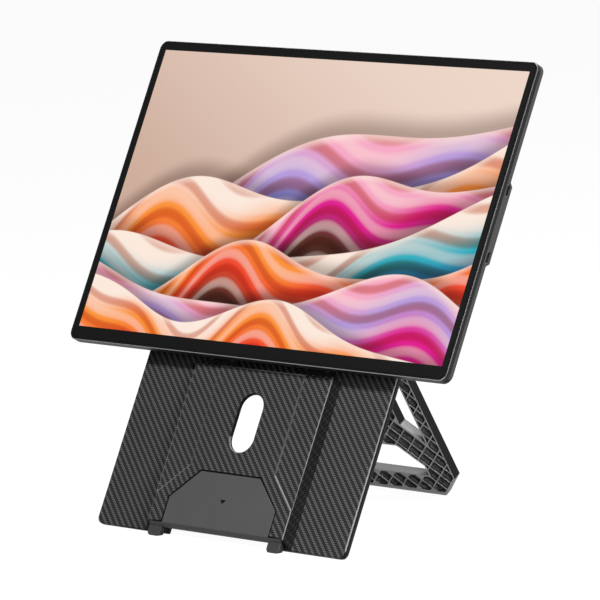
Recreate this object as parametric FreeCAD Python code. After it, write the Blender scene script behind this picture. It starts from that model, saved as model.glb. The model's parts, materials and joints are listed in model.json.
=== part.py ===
import FreeCAD, Part
import math
import os

# Laptop screen extender: a 16 inch display on a leaning stand panel with a ribbed kickstand.
# Every piece is drawn with the panel upright: x runs right, y runs back from the panel's
# front face, z runs up the panel from the tip of its feet. Then the whole is leaned back, so far
# that the panel's lower back edge and the kickstand's tip stand on the floor.
KICK_OPEN_DEG = 59.5
FLOOR_TRIM = 0.8

# Stand panel
PANEL_W = 234.6
PANEL_FRONT_T = 2.2
PANEL_BACK_T = 2.3
PANEL_BOTTOM = 4.1
PANEL_H = 192.9
PANEL_CORNER_R = 5.5
NOTCH_W = 98.0
NOTCH_H = 9.9
NOTCH_R = 3.5

# Raised platform on the panel
PLATFORM_FRONT_W = 127.6
PLATFORM_BASE_W = 138.8
PLATFORM_H = 6.35
PLATFORM_LIP_RISE = 6.0
PLATFORM_SKIRT_RISE = 0.5
PLATFORM_LENGTH = 118.4
PLATFORM_WALL = 2.2
PLATFORM_END_WALL = 2.4
CAVITY_SIDE = 0.9
FACET_LINE_W = 80.8
FACET_RISE = 21.6
FACET_RUN = 22.7
FACET_DEPTH = 0.8

# Stadium slot through the platform, with a wider window behind it in the panel
SLOT_W = 21.5
SLOT_H = 43.1
SLOT_DROP = 18.1
WINDOW_W = 46.0
WINDOW_BELOW = 2.0
WINDOW_ABOVE = 8.0
WINDOW_R = 6.0

# Pull-down slide with its hexagonal thumb plate, crossbar and feet
HEX_BASE_W = 101.6
HEX_TOP_W = 56.8
HEX_SIDE_H = 19.0
HEX_SLOPE_H = 21.9
HEX_GAP = 0.45
TONGUE_SIDE = 4.9
TONGUE_T = 2.0
TONGUE_OVERLAP = 11.0
TONGUE_CLEAR = 0.25
SLIDE_TRAVEL = 30.0
CROSSBAR_SIDE = 0.4
CROSSBAR_H = 2.7
CROSSBAR_BACK = 1.0
CROSSBAR_GAP = 0.35
BEVEL_BACK_Y = 3.4
FOOT_W = 11.8
FOOT_FRONT_Y = 4.6
FOOT_CORNER_R = 3.2
ARROW_W = 5.4
ARROW_H = 3.0
ARROW_RISE = 20.3
ARROW_DEPTH = 0.5
STOP_SPAN = 86.0
STOP_RISE = 9.9
STOP_R = 1.8
STOP_HEAD_R = 3.0
STOP_HEAD_T = 0.7
STOP_SLOT_CLEAR = 0.4
STOP_HEAD_CLEAR = 0.25
FRICTION_PAD_W = 12.0
FRICTION_PAD_H = 8.0
FRICTION_PAD_RISE = 25.9
FRICTION_PAD_SPAN = 36.0
FRICTION_PAD_GAP = 0.1

# Display
DISPLAY_W = 357.4
DISPLAY_H = 233.1
DISPLAY_RISE = 2.3
DISPLAY_FRONT = 22.1
DISPLAY_T = 9.8
DISPLAY_CORNER_R = 6.5
ACTIVE_SIDE = 6.35
ACTIVE_TOP_EDGE = 7.2
ACTIVE_CHIN = 10.5
FRAME_WALL = 1.8
FRAME_CHAMFER = 0.6
BEZEL_T = 0.5
BEZEL_SINK = 0.05
BEZEL_CLEAR = 0.2
LCD_T = 1.85
LCD_MARGIN = 2.2
MID_PLATE_T = 0.8
MID_PLATE_CLEAR = 0.4
REAR_WALL = 3.0
REAR_BACK_T = 1.5
REAR_CHAMFER = 2.9
GROOVE = 0.4
PORT_RISE = 116.4
PORT_SPAN = 48.9
PORT_BLOCK_H = 61.3
PORT_BLOCK_W = 7.0
PORT_BLOCK_SLOPE = 2.5
PORT_DEPTH_FROM_FRONT = 6.4
PORT_LEN = 8.9
PORT_H = 3.2
PORT_SHELL = 0.35
PORT_REACH = 7.3
PORT_SINK = 0.3
PORT_CLEAR = 0.15
PORT_END_SIDES = 8
PORT_BACK_T = 0.6
TONGUE_PORT_LEN = 6.7
TONGUE_PORT_T = 0.7
TONGUE_PORT_REACH = 5.0
BOARD_W = 75.0
BOARD_H = 84.0
BOARD_T = 1.2
BOSS_H = 1.5
BOSS_R = 2.5
BOSS_INSET = 8.0
CHIP_W = 14.0
CHIP_T = 1.0
CHIP_SPAN = 30.0
SPEAKER_W = 42.0
SPEAKER_H = 14.0
SPEAKER_T = 3.6
SPEAKER_INSET = 31.7
SPEAKER_LIFT = 11.2
GRILLE_HOLES = 5
GRILLE_PITCH = 6.0
GRILLE_R = 1.0
KEY_DROP = 82.9
KEY_SPAN = 18.0
KEY_LEN = 9.0
KEY_H = 2.0
KEY_PROUD = 0.6
KEY_CLEAR = 0.2
KEY_TRAVEL = 0.8
KEY_FLANGE = 1.0
KEY_FLANGE_T = 1.0
KEY_DEPTH_FROM_FRONT = 5.1
KEY_BOARD_T = 1.2
KEY_BOARD_MARGIN = 6.0
KEY_BOARD_GAP = 0.4
HINGE_PLATE_SPARE = 5.0
HINGE_PLATE_LIFT = 5.2
HINGE_PLATE_H = 36.0
HINGE_PLATE_T = 1.0

# Tilt hinge between panel and display
TILT_RISE = 12.2
TILT_Y = 6.0
TILT_X = 45.0
TILT_R = 3.8
KNUCKLE_SIDES = 16
TILT_PIN_R = 2.0
TILT_LUG_W = 7.6
TILT_KNUCKLE_W = 14.0
TILT_SIDE_GAP = 0.4
TILT_FLANGE_T = 1.5
TILT_FLANGE_DROP = 12.0
LEAF_W = 30.0
LEAF_T = 1.5
LEAF_DROP = 6.0
LEAF_H = 29.0
LEAF_SCREW_RISE = 16.0
LEAF_SCREW_SPAN = 20.0
BASE_SCREW_DROP = 8.0

# Kickstand and its hinge
KICK_W = 136.0
KICK_T = 6.7
KICK_LENGTH = 179.5
KICK_AXIS_DROP = 6.15
KICK_FOLD_GAP = 0.8
KICK_CHAMFER_W = 17.1
KICK_CHAMFER_H = 18.5
KICK_LEG_W = 11.7
SIDE_WINDOW_W = 17.0
SIDE_WINDOW_TOP = 30.0
SIDE_WINDOW_SLANT = 16.3
WINDOW_BRIDGE = 5.0
LOW_WINDOW_H = 26.0
LOW_WINDOW_SIDE = 24.0
LOW_WINDOW_SIDE_H = 9.1
LOW_WINDOW_SLANT = 18.3
BOTTOM_BAR = 18.6
KICK_TOE = 2.6
RIB_T = 0.8
RIB_PITCH = 9.8
RIB_RIM = 1.2
RIB_TURN_DEG = 45.0
POCKET_DEPTH = 5.2
KICK_HINGE_X = 44.0
KICK_LUG_W = 12.0
KICK_LUG_R = 3.0
KICK_CUTOUT_GAP = 0.4
KICK_CUTOUT_H = 13.0
KICK_PIN_R = 1.3
KICK_PIN_LEN = 36.0
KICK_FLANGE_DROP = 8.5
KICK_FLANGE_T = 1.2
KICK_SCREW_DROP = 6.0

# Fits and screws
PIN_PRESS = 0.02
PIN_RUN = 0.06
SCREW_R = 1.0
SCREW_HEAD_R = 2.0
SCREW_HEAD_T = 0.8
SCREW_CLEAR = 0.08
PEG_SIDES = 6
HEAD_SIDES = 12
PANEL_SCREW_SIDE = 22.3
PANEL_SCREW_RISE = 19.9
PANEL_SCREW_SPAN = 96.0
PANEL_SCREW_BITE = 1.4
COVER_SCREW_SIDE = 28.7
COVER_SCREW_DROP = 18.9
COVER_SCREW_SPAN = 165.0
COVER_SCREW_BITE = 0.7
POST_R = 2.6
CUT_PAST = 1.0

# Derived places: panel, platform and slide
PANEL_T = PANEL_FRONT_T + PANEL_BACK_T
PANEL_TOP = PANEL_BOTTOM + PANEL_H
NOTCH_TOP = PANEL_BOTTOM + NOTCH_H
PLATFORM_LIP = PANEL_BOTTOM + PLATFORM_LIP_RISE
PLATFORM_SKIRT = PANEL_BOTTOM + PLATFORM_SKIRT_RISE
PLATFORM_TOP = PLATFORM_LIP + PLATFORM_LENGTH
CAVITY_W = PLATFORM_FRONT_W - 2 * CAVITY_SIDE
FACET_END = PLATFORM_LIP + FACET_RISE
FACET_BEND = FACET_END + FACET_RUN
SLOT_HIGH = PLATFORM_TOP - SLOT_DROP
SLOT_LOW = SLOT_HIGH - SLOT_H
HEX_SHOULDER = PLATFORM_LIP + HEX_SIDE_H
HEX_TOP = HEX_SHOULDER + HEX_SLOPE_H
TONGUE_W = CAVITY_W - 2 * TONGUE_SIDE
TONGUE_TOP = HEX_TOP + TONGUE_OVERLAP
TONGUE_FRONT_Y = -PLATFORM_H + PLATFORM_WALL + TONGUE_CLEAR
TONGUE_BACK_Y = TONGUE_FRONT_Y + TONGUE_T
CROSSBAR_W = CAVITY_W - 2 * CROSSBAR_SIDE
CROSSBAR_BOTTOM = PLATFORM_LIP - CROSSBAR_H
ARROW_Z = PLATFORM_LIP + ARROW_RISE
STOP_Z = PLATFORM_LIP + STOP_RISE
FRICTION_PAD_Z = PLATFORM_LIP + FRICTION_PAD_RISE

# Derived places: display and its inner pieces
FRONT_Y = -DISPLAY_FRONT
BACK_Y = FRONT_Y + DISPLAY_T
FRAME_T = BEZEL_SINK + BEZEL_T + LCD_T + MID_PLATE_T
RIM_Y = FRONT_Y + FRAME_T
INNER_BACK_Y = BACK_Y - REAR_BACK_T
DISPLAY_BOTTOM = PLATFORM_TOP + DISPLAY_RISE
DISPLAY_TOP = DISPLAY_BOTTOM + DISPLAY_H
HALF_W = DISPLAY_W / 2
ACTIVE_W = DISPLAY_W - 2 * ACTIVE_SIDE
ACTIVE_LOW = DISPLAY_BOTTOM + ACTIVE_CHIN
ACTIVE_HIGH = DISPLAY_TOP - ACTIVE_TOP_EDGE
PORT_Y = FRONT_Y + PORT_DEPTH_FROM_FRONT
PORT_MID_Z = DISPLAY_BOTTOM + PORT_RISE
PORT_ROOT_X = HALF_W - PORT_SINK - PORT_REACH
BOARD_LOW = PORT_MID_Z - BOARD_H / 2
BOARD_HIGH = PORT_MID_Z + BOARD_H / 2
BOARD_LEFT = PORT_ROOT_X - BOARD_W
SPEAKER_X = HALF_W - SPEAKER_INSET - SPEAKER_W
SPEAKER_Z = DISPLAY_BOTTOM + SPEAKER_LIFT
KEY_Y = FRONT_Y + KEY_DEPTH_FROM_FRONT
KEY_MID_Z = DISPLAY_TOP - KEY_DROP
HINGE_PLATE_LOW = DISPLAY_BOTTOM + HINGE_PLATE_LIFT
COVER_SCREW_SEAT = BACK_Y - SCREW_HEAD_T

# Derived places: hinges, kickstand and lean
TILT_Z = DISPLAY_BOTTOM + TILT_RISE
LEAF_BACK_Y = BACK_Y + LEAF_T
LEAF_SCREW_Z = TILT_Z + LEAF_SCREW_RISE
BASE_SCREW_Z = TILT_Z - BASE_SCREW_DROP
KICK_AXIS_Z = PANEL_TOP - KICK_AXIS_DROP
KICK_AXIS_Y = PANEL_T + KICK_FOLD_GAP + KICK_T / 2
KICK_SCREW_Z = KICK_AXIS_Z - KICK_SCREW_DROP
HINGE_BAR = KICK_CUTOUT_H + RIB_RIM
LOW_WINDOW_BOTTOM = KICK_LENGTH - BOTTOM_BAR
LOW_WINDOW_TOP = LOW_WINDOW_BOTTOM - LOW_WINDOW_H
LOW_WINDOW_BOTTOM_W = KICK_W - 2 * LOW_WINDOW_SIDE
LOW_WINDOW_TOP_W = LOW_WINDOW_BOTTOM_W - 2 * LOW_WINDOW_SLANT
SIDE_WINDOW_OUTER_END = LOW_WINDOW_TOP - WINDOW_BRIDGE
SIDE_WINDOW_INNER_END = SIDE_WINDOW_OUTER_END - SIDE_WINDOW_SLANT
KICK_TURN = math.radians(KICK_OPEN_DEG)
TIP_Y = KICK_AXIS_Y + KICK_LENGTH * math.sin(KICK_TURN) - KICK_T / 2 * math.cos(KICK_TURN)
TIP_Z = KICK_AXIS_Z - KICK_LENGTH * math.cos(KICK_TURN) - KICK_T / 2 * math.sin(KICK_TURN)
LEAN_DEG = math.degrees(math.atan2(TIP_Z - PANEL_BOTTOM, TIP_Y - PANEL_T))

V = FreeCAD.Vector
X_AXIS = V(1, 0, 0)
Y_AXIS = V(0, 1, 0)
ORIGIN = V(0, 0, 0)
pieces = {}
os.makedirs("parts", exist_ok=True)


def box(x0, x1, y0, y1, z0, z1):
    """Box between two corners."""
    return Part.makeBox(x1 - x0, y1 - y0, z1 - z0, V(x0, y0, z0))


def rod(radius, start, end):
    """Cylinder from one point to another."""
    run = end.sub(start)
    return Part.makeCylinder(radius, run.Length, start, run)


def peg(radius, start, end, sides=PEG_SIDES):
    """Small many-sided rod along y, for fasteners, their holes and bosses."""
    corners = [V(radius * math.cos(turn), 0, radius * math.sin(turn))
               for turn in (math.tau * step / sides for step in range(sides))]
    return prism([start.add(corner) for corner in corners], end.sub(start))


def prism(points, run):
    """Straight solid with the polygon as its section."""
    return Part.Face(Part.makePolygon(points + points[:1])).extrude(run)


def plate(points_xz, y0, y1):
    """Plate parallel to the panel, from its outline."""
    return prism([V(x, y0, z) for x, z in points_xz], V(0, y1 - y0, 0))


def bar(points_yz, x0, x1):
    """Bar along x, from its section."""
    return prism([V(x0, y, z) for y, z in points_yz], V(x1 - x0, 0, 0))


def knuckle(radius, x0, x1, y, z):
    """Many-sided barrel of a hinge along x."""
    turns = [math.tau * step / KNUCKLE_SIDES for step in range(KNUCKLE_SIDES)]
    return bar([(y + radius * math.cos(turn), z + radius * math.sin(turn)) for turn in turns], x0, x1)


def mirrored(points_xz):
    """Closed outline from its right half, listed from bottom to top."""
    return points_xz + [(-x, z) for x, z in reversed(points_xz)]


def round_y(solid, radius, wanted):
    """Round the edges that run along y at the wanted places."""
    edges = []
    for edge in solid.Edges:
        ends = edge.Vertexes
        if len(ends) == 2 and abs(ends[0].X - ends[1].X) + abs(ends[0].Z - ends[1].Z) < SCREW_CLEAR:
            if wanted(ends[0].X, ends[0].Z):
                edges.append(edge)
    return solid.makeFillet(radius, edges)


def rounded(width, low, high, y0, y1, radius):
    """Plate centred on x with four rounded corners."""
    return round_y(box(-width / 2, width / 2, y0, y1, low, high), radius, lambda x, z: True)


def stadium(width, low, high, y0, y1):
    """Upright slot shape with round ends."""
    radius = width / 2
    middle = box(-radius, radius, y0, y1, low + radius, high - radius)
    ends = [rod(radius, V(0, y0, z), V(0, y1, z)) for z in (low + radius, high - radius)]
    return middle.fuse(ends).removeSplitter()


def panel_screw_places():
    half = PANEL_W / 2 - PANEL_SCREW_SIDE
    low = PANEL_BOTTOM + PANEL_SCREW_RISE
    return [(side * half, z) for side in (-1, 1) for z in (low, low + PANEL_SCREW_SPAN)]


def cover_screw_places():
    half = HALF_W - COVER_SCREW_SIDE
    high = DISPLAY_TOP - COVER_SCREW_DROP
    return [(side * half, z) for side in (-1, 1) for z in (high - COVER_SCREW_SPAN, high)]


def base_screw_xs(side):
    """Screws either side of a tilt hinge's middle."""
    return [side * TILT_X + end * LEAF_SCREW_SPAN / 2 for end in (-1, 1)]


def port_places():
    return [(PORT_MID_Z + PORT_SPAN / 2, "upper"), (PORT_MID_Z - PORT_SPAN / 2, "lower")]


def key_places():
    return [(KEY_MID_Z + KEY_SPAN / 2, "power"), (KEY_MID_Z - KEY_SPAN / 2, "menu")]


def screw(x, z, seat_y, bite, way):
    """Pan screw whose head sits on seat_y and whose shank runs along y by way."""
    head = peg(SCREW_HEAD_R, V(x, seat_y, z), V(x, seat_y - way * SCREW_HEAD_T, z), HEAD_SIDES)
    shank = peg(SCREW_R, V(x, seat_y, z), V(x, seat_y + way * bite, z))
    return head.fuse(shank).removeSplitter()


def screw_hole(x, z, y0, y1):
    """Hole that clears a screw's shank."""
    return peg(SCREW_R + SCREW_CLEAR, V(x, y0, z), V(x, y1, z))


def head_hole(x, z, y0, y1):
    """Hole that clears a screw's sunk head."""
    return peg(SCREW_HEAD_R + SCREW_CLEAR, V(x, y0, z), V(x, y1, z), HEAD_SIDES)


def stand(shape):
    """Lean an upright piece back to its standing place, and trim it flat where it meets the floor."""
    placed = shape.copy()
    placed.rotate(V(0, PANEL_T, PANEL_BOTTOM), X_AXIS, -LEAN_DEG)
    placed.translate(V(0, -PANEL_T, -PANEL_BOTTOM - FLOOR_TRIM))
    if placed.BoundBox.ZMin < 0:
        reach = DISPLAY_TOP
        placed = placed.cut(box(-reach, reach, -reach, reach, -reach, 0))
    return placed


def save(name, shape):
    pieces[name] = stand(shape)


def export_all():
    """Write every piece, with the origin on the floor under the middle of the whole."""
    whole = Part.makeCompound([pieces[name] for name in ("foot_pad_left", "kickstand")]).optimalBoundingBox()
    for name, shape in pieces.items():
        shape.translate(V(0, -whole.Center.y, 0))
        shape.exportStep("parts/" + name + ".step")


def panel_outline(y0, y1):
    """Panel blank: corners rounded, notch between the feet, window behind the slot."""
    half = PANEL_W / 2
    blank = box(-half, half, y0, y1, PANEL_BOTTOM, PANEL_TOP)
    blank = round_y(blank, PANEL_CORNER_R, lambda x, z: True)
    notch = box(-NOTCH_W / 2, NOTCH_W / 2, y0, y1, PANEL_BOTTOM - NOTCH_TOP, NOTCH_TOP)
    notch = round_y(notch, NOTCH_R, lambda x, z: z > 0)
    window = rounded(WINDOW_W, SLOT_LOW - WINDOW_BELOW, SLOT_HIGH + WINDOW_ABOVE, y0, y1, WINDOW_R)
    return blank.cut([notch, window])


def panel_pieces():
    front = panel_outline(0, PANEL_FRONT_T)
    back = panel_outline(PANEL_FRONT_T, PANEL_T)
    screws = []
    seat = PANEL_T - SCREW_HEAD_T
    bite = seat - PANEL_FRONT_T + PANEL_SCREW_BITE
    for x, z in panel_screw_places():
        screws.append(screw(x, z, seat, bite, -1))
        back = back.cut(head_hole(x, z, seat, PANEL_T))
        back = back.cut(screw_hole(x, z, PANEL_FRONT_T, seat))
        front = front.cut(screw_hole(x, z, PANEL_FRONT_T - PANEL_SCREW_BITE, PANEL_FRONT_T))
    for side in (-1, 1):
        for x in base_screw_xs(side):
            front = front.cut(screw_hole(x, BASE_SCREW_Z, 0, PANEL_SCREW_BITE))
        back = back.cut(screw_hole(side * KICK_HINGE_X, KICK_SCREW_Z, PANEL_T - PANEL_SCREW_BITE, PANEL_T))
        stop_x = side * STOP_SPAN / 2
        front = front.cut(peg(STOP_R, V(stop_x, 0, STOP_Z), V(stop_x, PANEL_FRONT_T, STOP_Z), HEAD_SIDES))
    save("panel_front", front)
    save("panel_back", back)
    save("panel_screws", Part.makeCompound(screws))


def hex_outline(gap, low):
    return mirrored([(HEX_BASE_W / 2 - gap, low), (HEX_BASE_W / 2 - gap, HEX_SHOULDER),
                     (HEX_TOP_W / 2 - gap, HEX_TOP - gap)])


def platform_piece():
    """Bevelled carbon shell over the slide, with its shoulder facets and hex opening."""
    half_front = PLATFORM_FRONT_W / 2
    half_base = PLATFORM_BASE_W / 2
    section = [V(-half_base, 0, 0), V(-half_front, -PLATFORM_H, 0),
               V(half_front, -PLATFORM_H, 0), V(half_base, 0, 0)]
    shell = prism(section, V(0, 0, PLATFORM_TOP))
    below = bar([(0, 0), (0, PLATFORM_SKIRT), (-PLATFORM_H, PLATFORM_LIP), (-PLATFORM_H, 0)],
                -half_base, half_base)
    shell = shell.cut(below)
    wall_y = -PLATFORM_H + PLATFORM_WALL
    inside = box(-CAVITY_W / 2, CAVITY_W / 2, wall_y, 0, 0, PLATFORM_TOP - PLATFORM_END_WALL)
    shell = shell.cut(inside)
    shell = shell.cut(box(-CAVITY_W / 2, CAVITY_W / 2, -PLATFORM_H, 0, 0, PLATFORM_LIP + CROSSBAR_GAP))
    shell = shell.cut(stadium(SLOT_W, SLOT_LOW, SLOT_HIGH, -PLATFORM_H, wall_y))
    shell = shell.cut(plate(hex_outline(0, 0), -PLATFORM_H, wall_y))
    for side in (-1, 1):
        line = FACET_LINE_W / 2
        facet = [(line, PLATFORM_TOP), (line, FACET_BEND), (half_front, FACET_END), (half_base, FACET_END),
                 (half_base, PLATFORM_TOP)]
        sunk = [(side * x, z) for x, z in facet]
        shell = shell.cut(plate(sunk, -PLATFORM_H, -PLATFORM_H + FACET_DEPTH))
    save("platform_shell", shell.removeSplitter())


def slide_pieces():
    """Thumb plate, tongue and crossbar in one moulding, with arrow, feet, stops and pads."""
    low = PLATFORM_LIP
    hex_plate = plate(hex_outline(HEX_GAP, low), -PLATFORM_H, TONGUE_BACK_Y)
    tongue = box(-TONGUE_W / 2, TONGUE_W / 2, TONGUE_FRONT_Y, TONGUE_BACK_Y, low, TONGUE_TOP)
    section = [(-PLATFORM_H, low), (-BEVEL_BACK_Y, CROSSBAR_BOTTOM), (-CROSSBAR_BACK, CROSSBAR_BOTTOM),
               (-CROSSBAR_BACK, low)]
    crossbar = bar(section, -CROSSBAR_W / 2, CROSSBAR_W / 2)
    slide = hex_plate.fuse([tongue, crossbar])
    stops = []
    pads = []
    for side in (-1, 1):
        x = side * STOP_SPAN / 2
        wide = STOP_R + STOP_SLOT_CLEAR
        groove = box(x - wide, x + wide, TONGUE_FRONT_Y, TONGUE_BACK_Y, STOP_Z - wide,
                     STOP_Z + SLIDE_TRAVEL + wide)
        wide_head = STOP_HEAD_R + STOP_HEAD_CLEAR
        room_y = TONGUE_FRONT_Y + STOP_HEAD_T + 2 * STOP_HEAD_CLEAR
        room = box(x - wide_head, x + wide_head, TONGUE_FRONT_Y, room_y, STOP_Z - wide_head,
                   STOP_Z + SLIDE_TRAVEL + wide_head)
        slide = slide.cut(groove).cut(room)
        head_y = TONGUE_FRONT_Y + STOP_HEAD_CLEAR
        head = peg(STOP_HEAD_R, V(x, head_y, STOP_Z), V(x, head_y + STOP_HEAD_T, STOP_Z), HEAD_SIDES)
        neck = peg(STOP_R, V(x, head_y, STOP_Z), V(x, PANEL_FRONT_T, STOP_Z), HEAD_SIDES)
        stops.append(head.fuse(neck).removeSplitter())
        pad_x = side * FRICTION_PAD_SPAN / 2
        pad_half = FRICTION_PAD_W / 2
        pads.append(box(pad_x - pad_half, pad_x + pad_half, TONGUE_BACK_Y + FRICTION_PAD_GAP, 0,
                        FRICTION_PAD_Z, FRICTION_PAD_Z + FRICTION_PAD_H))
        outer = side * CROSSBAR_W / 2
        inner = outer - side * FOOT_W
        foot = box(min(inner, outer), max(inner, outer), -FOOT_FRONT_Y, -CROSSBAR_GAP, 0, CROSSBAR_BOTTOM)
        foot = round_y(foot, FOOT_CORNER_R, lambda x, z: z < CROSSBAR_GAP)
        save("foot_pad_" + ("left" if side < 0 else "right"), foot)
    head_z = ARROW_Z + ARROW_H / 2
    tip = [(0, ARROW_Z - ARROW_H / 2), (ARROW_W / 2, head_z), (-ARROW_W / 2, head_z)]
    arrow = plate(tip, -PLATFORM_H, -PLATFORM_H + ARROW_DEPTH)
    save("slide_plate", slide.cut(arrow).removeSplitter())
    save("arrow_mark", arrow)
    save("slide_stop_pins", Part.makeCompound(stops))
    save("slide_friction_pads", Part.makeCompound(pads))


def kick_region(rim, toe):
    """Kickstand outline and windows, all edges moved inward by rim and the tip by toe as well."""
    half = KICK_W / 2 - rim
    slant = math.hypot(KICK_CHAMFER_W, KICK_CHAMFER_H)
    cut_in = rim * (slant - KICK_CHAMFER_H) / KICK_CHAMFER_W
    cut_up = rim * (slant - KICK_CHAMFER_W) / KICK_CHAMFER_H
    bottom_half = KICK_W / 2 - KICK_CHAMFER_W - cut_in + toe * KICK_CHAMFER_W / KICK_CHAMFER_H
    outline = mirrored([(bottom_half, -KICK_LENGTH + rim + toe),
                        (half, -KICK_LENGTH + KICK_CHAMFER_H + cut_up), (half, -HINGE_BAR)])
    region = Part.Face(Part.makePolygon([V(x, 0, z) for x, z in outline + outline[:1]]))
    rise = SIDE_WINDOW_OUTER_END - SIDE_WINDOW_INNER_END
    drop = rim * math.hypot(rise, SIDE_WINDOW_W) / SIDE_WINDOW_W
    tilt_share = rise / SIDE_WINDOW_W
    outer = KICK_W / 2 - KICK_LEG_W
    inner = outer - SIDE_WINDOW_W
    fall = LOW_WINDOW_BOTTOM - LOW_WINDOW_TOP - LOW_WINDOW_SIDE_H
    side_move = rim * math.hypot(LOW_WINDOW_SLANT, fall) / fall
    run_share = LOW_WINDOW_SLANT / fall
    low_side = LOW_WINDOW_BOTTOM_W / 2 + rim
    low_top = LOW_WINDOW_TOP_W / 2 + side_move
    low = mirrored([(low_side, -LOW_WINDOW_BOTTOM - rim),
                    (low_side, -LOW_WINDOW_TOP - (low_side - low_top) / run_share),
                    (low_top - rim * run_share, -LOW_WINDOW_TOP + rim)])
    holes = [low]
    for side in (-1, 1):
        holes.append([(side * (outer + rim), -SIDE_WINDOW_TOP + rim),
                      (side * (outer + rim), -SIDE_WINDOW_OUTER_END - drop - rim * tilt_share),
                      (side * (inner - rim), -SIDE_WINDOW_INNER_END - drop + rim * tilt_share),
                      (side * (inner - rim), -SIDE_WINDOW_TOP + rim)])
    for hole in holes:
        region = region.cut(Part.Face(Part.makePolygon([V(x, 0, z) for x, z in hole + hole[:1]])))
    return region


def rib_faces():
    """Both families of diagonal ribs as flat strips."""
    reach = KICK_LENGTH
    count = int(KICK_LENGTH / RIB_PITCH)
    strips = []
    for turn in (-RIB_TURN_DEG, RIB_TURN_DEG):
        for step in range(-count, count + 1):
            offset = step * RIB_PITCH
            strip = Part.Face(Part.makePolygon([V(x, 0, z) for x, z in (
                (-reach, offset - RIB_T / 2), (reach, offset - RIB_T / 2), (reach, offset + RIB_T / 2),
                (-reach, offset + RIB_T / 2), (-reach, offset - RIB_T / 2))]))
            strip.rotate(ORIGIN, Y_AXIS, turn)
            strip.translate(V(0, 0, -KICK_LENGTH / 2))
            strips.append(strip)
    return strips


def open_kick(shape):
    """Swing a kickstand piece out from the panel and move it to its axis."""
    placed = shape.copy()
    placed.rotate(ORIGIN, X_AXIS, KICK_OPEN_DEG)
    placed.translate(V(0, KICK_AXIS_Y, KICK_AXIS_Z))
    return placed


def kick_pieces():
    half_t = KICK_T / 2
    body = kick_region(0, 0).extrude(V(0, KICK_T, 0))
    body.translate(V(0, -half_t, 0))
    body = body.fuse(box(-KICK_W / 2, KICK_W / 2, -half_t, half_t, -HINGE_BAR, 0))
    body = body.fuse(rod(half_t, V(-KICK_W / 2, 0, 0), V(KICK_W / 2, 0, 0))).removeSplitter()
    for side in (-1, 1):
        lug_half = KICK_LUG_W / 2 + KICK_CUTOUT_GAP
        x = side * KICK_HINGE_X
        body = body.cut(box(x - lug_half, x + lug_half, -KICK_T, KICK_T, -KICK_CUTOUT_H, KICK_T))
        bore = KICK_PIN_R + PIN_RUN
        body = body.cut(rod(bore, V(x - KICK_PIN_LEN / 2, 0, 0), V(x + KICK_PIN_LEN / 2, 0, 0)))
    pockets = kick_region(RIB_RIM, KICK_TOE).cut(rib_faces())
    cells = [face.extrude(V(0, POCKET_DEPTH, 0)) for face in pockets.Faces if face.Area > RIB_PITCH * RIB_RIM]
    for cell in cells:
        cell.translate(V(0, -half_t, 0))
    save("kickstand", open_kick(body.cut(cells)))


def kick_hinge_pieces():
    screws = []
    for side, name in ((-1, "left"), (1, "right")):
        x = side * KICK_HINGE_X
        x0 = x - KICK_LUG_W / 2
        x1 = x + KICK_LUG_W / 2
        lug = knuckle(KICK_LUG_R, x0, x1, KICK_AXIS_Y, KICK_AXIS_Z)
        web = box(x0, x1, PANEL_T, KICK_AXIS_Y, KICK_AXIS_Z - KICK_LUG_R, KICK_AXIS_Z + KICK_LUG_R)
        flange = box(x0, x1, PANEL_T, PANEL_T + KICK_FLANGE_T, KICK_AXIS_Z - KICK_FLANGE_DROP, KICK_AXIS_Z)
        lug = lug.fuse([web, flange]).removeSplitter()
        start = V(x - KICK_PIN_LEN / 2, KICK_AXIS_Y, KICK_AXIS_Z)
        end = V(x + KICK_PIN_LEN / 2, KICK_AXIS_Y, KICK_AXIS_Z)
        lug = lug.cut(rod(KICK_PIN_R + PIN_PRESS, start, end))
        seat = PANEL_T + KICK_FLANGE_T
        lug = lug.cut(screw_hole(x, KICK_SCREW_Z, PANEL_T, seat))
        screws.append(screw(x, KICK_SCREW_Z, seat, KICK_FLANGE_T + PANEL_SCREW_BITE, -1))
        save("kick_hinge_" + name, lug)
        save("kick_pin_" + name, rod(KICK_PIN_R, start, end))
    save("kick_hinge_screws", Part.makeCompound(screws))


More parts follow.
